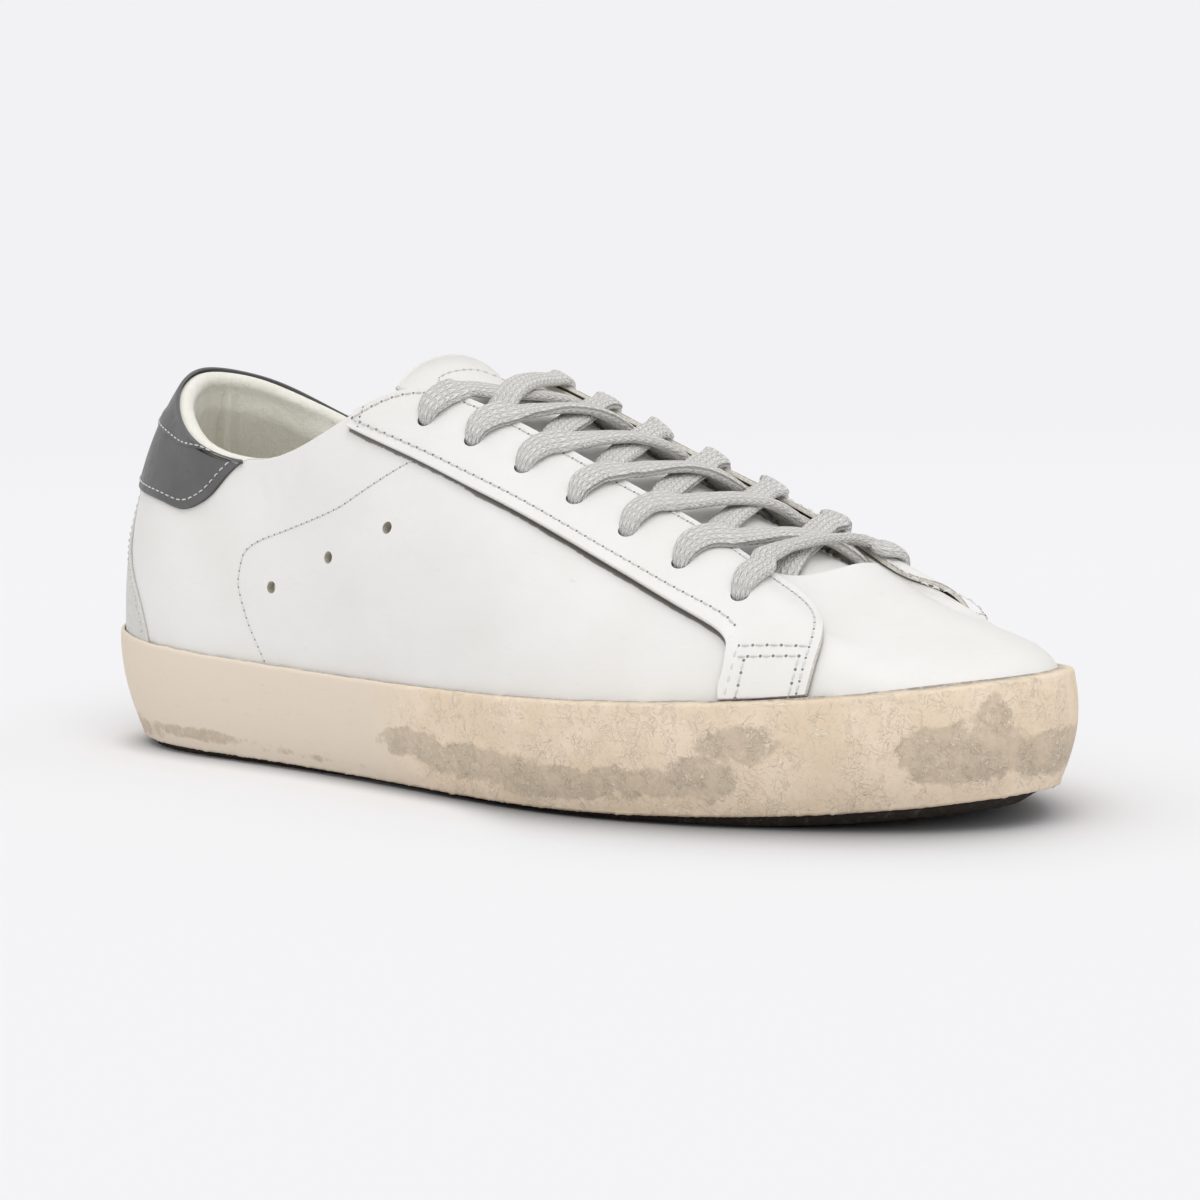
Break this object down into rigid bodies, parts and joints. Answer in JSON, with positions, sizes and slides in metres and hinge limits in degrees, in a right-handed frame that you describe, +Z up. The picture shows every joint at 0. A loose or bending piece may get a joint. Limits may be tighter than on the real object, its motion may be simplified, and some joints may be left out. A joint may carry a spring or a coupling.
{
  "type": "low-top court sneaker",
  "caption": "Worn low-top leather court sneaker for the right foot with a cup sole, laced over a leather tongue, with a dark heel tab.",
  "frame": {"origin": "middle of the shoe's box, on the floor under the sole", "axes": "+X to the toe, +Y to the inner (medial) side, +Z up"},
  "size_m": [0.299, 0.1032, 0.1068],
  "materials": {
    "upper": "smooth white, lightly creased and soiled",
    "eyestay": "smooth white with raw cream edges",
    "tongue": "smooth white",
    "heel_tab": "smooth dark grey",
    "backstay": "grey suede nap",
    "laces": "grey braided cotton",
    "insole": "cream cloth lining",
    "cup": "cream, scuffed and dirty",
    "tread": "brown, rough and worn"
  },
  "bodies": {
    "root": {"outsole": "tread", "cup_sole": "cup", "insole": "insole", "upper": "upper", "eyestay_outer": "eyestay", "eyestay_inner": "eyestay", "heel_tab": "heel_tab", "heel_strip": "heel_tab", "backstay": "backstay", "tongue": "tongue", "laces": "laces"}
  },
  "joints": []
}
